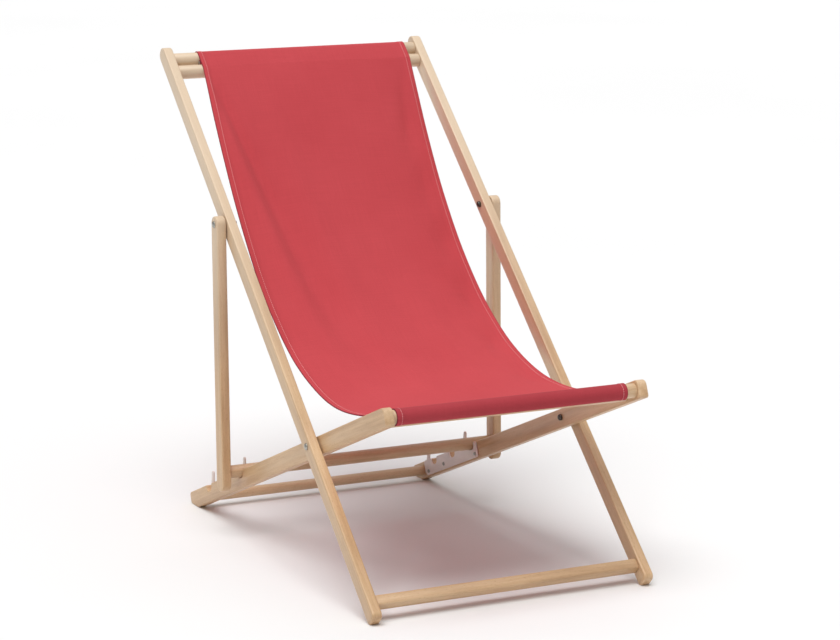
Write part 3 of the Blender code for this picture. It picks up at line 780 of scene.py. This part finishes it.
def washer_profile(low, high):
    """The section of a flat washer, closed back on its first point."""
    arris_r = WASHER_R - WASHER_ARRIS
    bore = (low, NUT_BORE_R)
    return [bore, (low, arris_r), (low + WASHER_ARRIS, WASHER_R), (high - WASHER_ARRIS, WASHER_R),
            (high, arris_r), (high, NUT_BORE_R), bore]


def pivots():
    """A round-headed bolt, a washer between the rails and a domed nut at each of the four pivots."""
    for number, (side, way) in enumerate(SIDES.items()):
        for base, body, inner, outer in (
            ("seat_pivot", "back_frame", "seat_rail_", "back_rail_"),
            ("prop_pivot", "prop_frame", "back_rail_", "prop_leg_"),
        ):
            at = middle(f"{base}_bolt_{side}")
            head_seat = max(abs(x) for x in span(outer + side)) + PIVOT_GAP
            face = min(abs(x) for x in span(inner + side)) - PIVOT_GAP
            gap = sorted(abs(x) for x in span(f"{base}_washer_{side}"))
            bright = zinc(f"zinc_{base}_{side}", number * 3 + len(inner))
            # painted shade: the pivot nuts get a darker zinc colour that stands in for the shade of a recess
            dark = zinc(f"zinc_{base}_nut_{side}", number * 5 + len(outer), 0.25)
            pale = nylon(f"washer_nylon_{base}_{side}", WASHER_NYLON, 3)
            for part, finish, slot, material, profile in (
                ("bolt", "zinc", "zinc_steel", bright, bolt_profile(head_seat, face)),
                ("nut", "zinc", "zinc_steel", dark, nut_profile(face)),
                ("washer", "nylon", "rack_nylon", pale, washer_profile(*gap)),
            ):
                name = f"{base}_{part}_{side}"
                made = lathe([(way * x, r) for x, r in profile], at)
                bmesh.ops.remove_doubles(made, verts=made.verts, dist=1e-6)
                piece(f"{finish}_{name}", made, material, body, [name])


def rods():
    for name, body in (("top_rod", "back_frame"), ("front_rod", "seat_frame")):
        low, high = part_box(name)
        radius = (high[2] - low[2]) / 2
        profile = [
            (low[0], 0),
            (low[0], radius - END_EASE),
            (low[0] + END_EASE, radius),
            (high[0] - END_EASE, radius),
            (high[0], radius - END_EASE),
            (high[0], 0),
        ]
        steel = zinc("zinc_" + name, len(name))
        piece("zinc_" + name, lathe(profile, middle(name), 24), steel, body, [name])


# Node trees, and the rack screws that one sets out


def new_tree(name, *values):
    """A geometry tree with its named inputs, each (name, socket type, first value), and its two ends."""
    tree = bpy.data.node_groups.new(name, "GeometryNodeTree")
    tree.interface.new_socket("Geometry", in_out="INPUT", socket_type="NodeSocketGeometry")
    tree.interface.new_socket("Geometry", in_out="OUTPUT", socket_type="NodeSocketGeometry")
    for label, kind, value in values:
        tree.interface.new_socket(label, in_out="INPUT", socket_type=kind).default_value = value
    return tree, tree.nodes.new("NodeGroupInput"), tree.nodes.new("NodeGroupOutput")


def realized(tree, instances, material, end):
    """Ends a tree: its instances made real, given their material and put out."""
    real = tree.nodes.new("GeometryNodeRealizeInstances")
    paint = tree.nodes.new("GeometryNodeSetMaterial")
    paint.inputs["Material"].default_value = material
    tree.links.new(instances, real.inputs["Geometry"])
    tree.links.new(real.outputs["Geometry"], paint.inputs["Geometry"])
    tree.links.new(paint.outputs["Geometry"], end.inputs["Geometry"])


def grown(name, mesh, tree, values):
    """A plain piece made by a tree from a mesh, with the tree's named inputs set first."""
    obj = linked(name, mesh)
    modifier = obj.modifiers.new(name, "NODES")
    modifier.node_group = tree
    sockets = {item.name: item.identifier for item in tree.interface.items_tree}
    for label, value in values.items():
        modifier[sockets[label]] = value
    return applied(obj)


def screw_tree(screw, material):
    """Puts a screw at each point of a mesh, turned about X by chance."""
    tree, start, end = new_tree(
        "rack_screws",
        ("Size", "NodeSocketFloat", 1.0),
        ("Largest turn", "NodeSocketFloat", 0.0),
        ("Seed", "NodeSocketInt", 0),
    )
    add, link = tree.nodes.new, tree.links.new
    shape = add("GeometryNodeObjectInfo")
    shape.inputs["Object"].default_value = screw
    turns = add("FunctionNodeRandomValue")
    turns.data_type = "FLOAT"
    together = add("ShaderNodeCombineXYZ")
    place = add("GeometryNodeInstanceOnPoints")
    link(start.outputs["Geometry"], place.inputs["Points"])
    link(shape.outputs["Geometry"], place.inputs["Instance"])
    link(start.outputs["Size"], place.inputs["Scale"])
    link(start.outputs["Largest turn"], turns.inputs[3])
    link(start.outputs["Seed"], turns.inputs["Seed"])
    link(turns.outputs[1], together.inputs["X"])
    link(together.outputs["Vector"], place.inputs["Rotation"])
    realized(tree, place.outputs["Instances"], material, end)
    return tree


def pan_head_screw(way, material):
    """A pan-head screw about X with a cross recess, its head's seat at the origin."""
    shank = [(way * SCREW_LENGTH, 0), (way * SCREW_THREAD, SCREW_SHANK_R), (0, SCREW_SHANK_R)]
    head = [(0, SCREW_HEAD_R * 0.98)]
    for t in (0.25, 0.5, 0.7, 0.85, 0.95):
        head.append((-way * SCREW_HEAD_RISE * t, SCREW_HEAD_R * math.sqrt(1 - t ** 3)))
    screw = piece("screw_head", lathe(shank + head + [(-way * SCREW_HEAD_RISE, 0)], steps=32), material)
    for turn in (0, math.pi / 2):
        recess = bmesh.new()
        bmesh.ops.create_cube(recess, size=1.0)
        recess.transform(Matrix.Translation((-way * SCREW_HEAD_RISE, 0, 0)) @ Matrix.Rotation(turn, 4, "X")
                         @ Matrix.Diagonal((*RECESS_SIZE, 1)))
        cut_with(screw, "recess", recess)
    return screw


def rack_screws():
    for number, (side, way) in enumerate(SIDES.items()):
        skin = zinc("zinc_rack_screws_" + side, 4 + number)
        screw = pan_head_screw(way, skin)
        names = [f"rack_screw_{side}_{n}" for n in (1, 2, 3)]
        seats = [min(abs(x) for x in span(name)) + SCREW_HEAD_RISE for name in names]
        mesh = bpy.data.meshes.new("zinc_rack_screws_" + side)
        mesh.from_pydata([(way * seat, *middle(name)) for seat, name in zip(seats, names)], [], [])
        values = {"Size": 1.0, "Largest turn": math.pi / 2, "Seed": 5 + number}
        screws = grown("zinc_rack_screws_" + side, mesh, screw_tree(screw, skin), values)
        bpy.data.objects.remove(screw)
        settle(screws, "seat_frame", names)


# Sling


def arc(centre, start, sweep, radius, steps):
    angles = [start + sweep * step / steps for step in range(steps + 1)]
    return [(centre[0] + radius * math.cos(a), centre[1] + radius * math.sin(a)) for a in angles]


def end_wrap(outer, rise, leave):
    """The cloth at one end, in the frame's plane with the dowels' outer side at +: round the rod, back
    through the gap, behind the outer dowel, over it and past the inner one."""
    wrap = DOWEL_R + DOWEL_TO_CLOTH
    loop = ROD_R + ROD_TO_CLOTH
    gap_line = outer - wrap
    rod = (outer - DOWEL_PITCH / 2, rise)
    side_step = gap_line - rod[0]
    join = math.asin(side_step / loop)
    sleeve = arc(rod, -math.pi / 2 + join + SLEEVE_SWEEP, -SLEEVE_SWEEP, loop, SLEEVE_STEPS)
    back = [(gap_line, rod[1] - loop * math.cos(join) - 0.0012), (gap_line, 0.0018)]
    over = arc((outer, 0), math.pi, 1.5 * math.pi, wrap, WRAP_STEPS)
    across = [(outer - DOWEL_PITCH * t, wrap + 0.0004 * math.sin(math.pi * t)) for t in (0.3, 0.6)]
    inner = arc((outer - DOWEL_PITCH, 0), math.pi / 2, leave, wrap, LEAVE_STEPS)
    return sleeve + back + over + across + inner


def bezier(a, b, c, d, t):
    return a * (1 - t) ** 3 + b * 3 * t * (1 - t) ** 2 + c * 3 * t * t * (1 - t) + d * t ** 3


def rod_rise():
    """How far the rod lies behind the two dowels that hold it."""
    reach = DOWEL_R + ROD_R + ROD_GAP
    return math.sqrt(reach ** 2 - (DOWEL_PITCH / 2) ** 2)


def cloth_line(across):
    """The cloth's middle line at a share across its width, from the top sleeve to the front one."""
    leave = LEAVE_LEFT + (LEAVE_RIGHT - LEAVE_LEFT) * across ** LEAVE_CURVE
    top = end_wrap(BACK_REACH - TOP_DOWEL_IN, rod_rise(), leave)
    top = [SEAT_PIVOT + turned(p, BACK_ANGLE) for p in top]
    nose = end_wrap(SEAT_FRONT - FRONT_DOWEL_IN, rod_rise(), ARRIVE_ANGLE)
    nose = [SEAT_PIVOT + turned((-y, z - SEAT_DROP), -SEAT_SLOPE) for y, z in reversed(nose)]
    start, end = top[-1], nose[0]
    down = -turned((math.cos(leave), math.sin(leave)), BACK_ANGLE)
    back = turned((math.cos(ARRIVE_ANGLE), math.sin(ARRIVE_ANGLE)), -SEAT_SLOPE)
    chord = (start - end).length
    handles = (start, start + down * LEAVE_PULL * chord, end + back * ARRIVE_PULL * chord, end)
    free = [bezier(*handles, step / FREE_STEPS) for step in range(1, FREE_STEPS)]
    return top + free + nose, len(top), len(top) + len(free)


def fold(d, s, first, last, from_d, to_d, curve, width, height):
    """One long fold: it runs from first to last down the cloth while it drifts from from_d to to_d."""
    t = (s - first) / (last - first)
    if not 0 < t < 1:
        return 0.0
    centre = from_d + (to_d - from_d) * (1 - (1 - t) ** curve)
    wide = width * (0.55 + 1.0 * t)
    return height * math.sin(math.pi * t ** 0.7) ** 1.2 * math.exp(-(((d - centre) / wide) ** 2))


def soft_folds(d, s, free_length):
    """Height of the slack folds at d from the left edge and s down the free cloth."""
    height = sum(fold(d, s, *shape) for shape in FOLDS)
    t = s / free_length
    inside = math.sin(math.pi * t) ** 0.7
    dip = math.exp(-(((SLING_WIDTH - d - 0.034) / 0.020) ** 2))
    left = math.exp(-d / 0.022)
    height -= 0.0052 * dip * (0.5 + 0.5 * math.sin(2 * math.pi * (s - 0.10) / 0.135)) * inside
    height += 0.0009 * left * math.sin(2 * math.pi * (s + 0.05) / 0.19) * t * inside
    height += 0.0009 * math.sin(d * 21.0 + s * 5.0) * math.sin(s * 7.0 + 1.3) * inside
    return height


def columns():
    """Distances from the left edge at which the cloth is drawn: close together at the hems."""
    folded = [0, 0.0003, 0.0009, 0.003, 0.006, 0.0085, 0.0092]
    hem = folded + [STITCH_INSET, 0.0104, 0.0110, HEM_WIDTH, HEM_WIDTH + 0.0008]
    plain = SLING_WIDTH - 2 * hem[-1]
    inner = [hem[-1] + plain * t / PLAIN_COLUMNS for t in range(1, PLAIN_COLUMNS)]
    return hem + inner + [SLING_WIDTH - d for d in reversed(hem)]


def thickness(from_edge):
    """Thickness of the cloth: a folded hem pressed down along its stitches."""
    if from_edge < 0.0001:
        return HEM_THICK * 0.25
    if from_edge < 0.0005:
        return HEM_THICK * 0.8
    if abs(from_edge - STITCH_INSET) < 0.0004:
        return HEM_THICK * 0.7
    if from_edge <= HEM_WIDTH - 0.0005:
        return HEM_THICK
    if from_edge <= HEM_WIDTH + 0.0001:
        return HEM_THICK * 0.8
    return CLOTH_THICK


def drawn_in(d, run, free_length):
    """How far the sleeves pull the edges of the cloth inwards; run is the distance down the free cloth."""
    left, right = math.exp(-d / 0.03), math.exp(-(SLING_WIDTH - d) / 0.03)
    top, front = math.exp(-run / 0.06), math.exp(-(free_length - run) / 0.06)
    return 0.0055 * left * top - 0.0025 * right * top - 0.0045 * right * front


def cloth_rows():
    """Middle point and normal of the cloth for each column and station."""
    rows = []
    for d in columns():
        line, free_from, free_to = cloth_line(d / SLING_WIDTH)
        free_length = sum((b - a).length for a, b in zip(line[free_from:free_to], line[free_from + 1:]))
        row, run = [], 0.0
        for i, point in enumerate(line):
            ahead, behind = line[min(i + 1, len(line) - 1)], line[max(i - 1, 0)]
            along = (ahead - behind).normalized()
            normal = Vector((0, along.z, -along.y))
            share = min(1.0, max(0.0, (i - free_from) / (free_to - free_from)))
            shift = SHIFT_TOP + (SHIFT_FRONT - SHIFT_TOP) * share
            shift += drawn_in(d, run, free_length)
            lifted = point + Vector((shift - SLING_WIDTH / 2 + d, 0, 0))
            if free_from <= i < free_to:
                lifted = lifted + normal * soft_folds(d, run, free_length)
                run += (line[i + 1] - point).length
            row.append((lifted, normal))
        rows.append(row)
    return rows


def lengths_along(rows):
    """Distance along the cloth, from its first edge, of every station of its middle row."""
    middle_row = rows[len(rows) // 2]
    lengths = [0.0]
    for (a, _), (b, _) in zip(middle_row, middle_row[1:]):
        lengths.append(lengths[-1] + (b - a).length)
    return lengths


def skin_faces(upper, lower):
    """Corners of every face of a closed sheet, between two skins of equal columns and stations."""
    across, along = range(len(upper) - 1), range(len(upper[0]) - 1)
    faces = []
    for c in across:
        for i in along:
            faces.append([upper[c][i], upper[c + 1][i], upper[c + 1][i + 1], upper[c][i + 1]])
            faces.append([lower[c][i + 1], lower[c + 1][i + 1], lower[c + 1][i], lower[c][i]])
    for c in (0, -1):
        faces += [[upper[c][i], upper[c][i + 1], lower[c][i + 1], lower[c][i]] for i in along]
    for i in (0, -1):
        faces += [[upper[c][i], lower[c][i], lower[c + 1][i], upper[c + 1][i]] for c in across]
    return faces


def sling(rows, material):
    """The whole cloth as one closed skin, with its flat size kept as its own map."""
    made = bmesh.new()
    uv = made.loops.layers.uv.new("cloth")
    lengths = lengths_along(rows)
    flat = {}
    skins = []
    for way in (1, -1):
        skin = []
        for d, row in zip(columns(), rows):
            half = way * thickness(min(d, SLING_WIDTH - d)) / 2
            verts = [made.verts.new(point + normal * half) for point, normal in row]
            flat.update((vert, (d, length)) for vert, length in zip(verts, lengths))
            skin.append(verts)
        skins.append(skin)
    for corners in skin_faces(*skins):
        for loop in made.faces.new(corners).loops:
            loop[uv].uv = flat[loop.vert]
    return piece("canvas_sling", made, material, sharp=CLOTH_SHARP)


def stitch_tree(material):
    """Sews stitches along an edge chain: a short rounded thread at every pitch."""
    tree, start, end = new_tree(
        "hem_stitches",
        ("Pitch", "NodeSocketFloat", STITCH_PITCH),
        ("Stitch length", "NodeSocketFloat", STITCH_LENGTH),
        ("Thread radius", "NodeSocketFloat", THREAD_R),
    )
    add, link = tree.nodes.new, tree.links.new
    curve = add("GeometryNodeMeshToCurve")
    points = add("GeometryNodeCurveToPoints")
    points.mode = "LENGTH"
    thread = add("GeometryNodeMeshUVSphere")
    thread.inputs["Segments"].default_value = 8
    thread.inputs["Rings"].default_value = 5
    thread.inputs["Radius"].default_value = 1.0
    half = add("ShaderNodeMath")
    half.operation = "MULTIPLY"
    half.inputs[1].default_value = 0.5
    size = add("ShaderNodeCombineXYZ")
    place = add("GeometryNodeInstanceOnPoints")
    link(start.outputs["Geometry"], curve.inputs["Mesh"])
    link(curve.outputs["Curve"], points.inputs["Curve"])
    link(start.outputs["Pitch"], points.inputs["Length"])
    link(points.outputs["Points"], place.inputs["Points"])
    link(points.outputs["Rotation"], place.inputs["Rotation"])
    link(thread.outputs["Mesh"], place.inputs["Instance"])
    link(start.outputs["Stitch length"], half.inputs[0])
    link(start.outputs["Thread radius"], size.inputs["X"])
    link(start.outputs["Thread radius"], size.inputs["Y"])
    link(half.outputs[0], size.inputs["Z"])
    link(size.outputs["Vector"], place.inputs["Scale"])
    realized(tree, place.outputs["Instances"], material, end)
    return tree


def stitches(rows, material):
    """A row of stitches down each long hem, on both faces of the cloth, between the two sleeves."""
    distances = columns()
    height = HEM_THICK * 0.36 + 0.0001
    verts, edges = [], []
    near = distances.index(STITCH_INSET)
    for column in (near, len(distances) - 1 - near):
        for way in (1, -1):
            first = len(verts)
            for point, normal in rows[column][SLEEVE_STATIONS:-SLEEVE_STATIONS]:
                verts.append(point + normal * way * height)
            edges += [(i, i + 1) for i in range(first, len(verts) - 1)]
    mesh = bpy.data.meshes.new("hem_stitches")
    mesh.from_pydata(verts, edges, [])
    values = {"Pitch": STITCH_PITCH, "Stitch length": STITCH_LENGTH, "Thread radius": THREAD_R}
    return grown("hem_stitches", mesh, stitch_tree(material), values)


def hang(obj):
    """Bakes the cloth's placement into its mesh."""
    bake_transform(obj)


def cloth():
    """The canvas sling with its stitches, hung between the two frames."""
    rows = cloth_rows()
    lengths = lengths_along(rows)
    sheet = sling(rows, canvas("red_canvas", CANVAS_RED, lengths[-WRAP_STATIONS]))
    hang(sheet)
    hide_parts("sling")
    sewn = stitches(rows, thread_material())
    hang(sewn)


studio()
wooden_rails()
for node, body in (
    ("top_dowel_upper", "back_frame"),
    ("top_dowel_lower", "back_frame"),
    ("front_dowel", "seat_frame"),
    ("front_dowel_second", "seat_frame"),
    ("foot_dowel", "seat_frame"),
    ("prop_bar", "prop_frame"),
):
    dowel(node, body)
crossbar()
racks()
pivots()
rods()
rack_screws()
cloth()
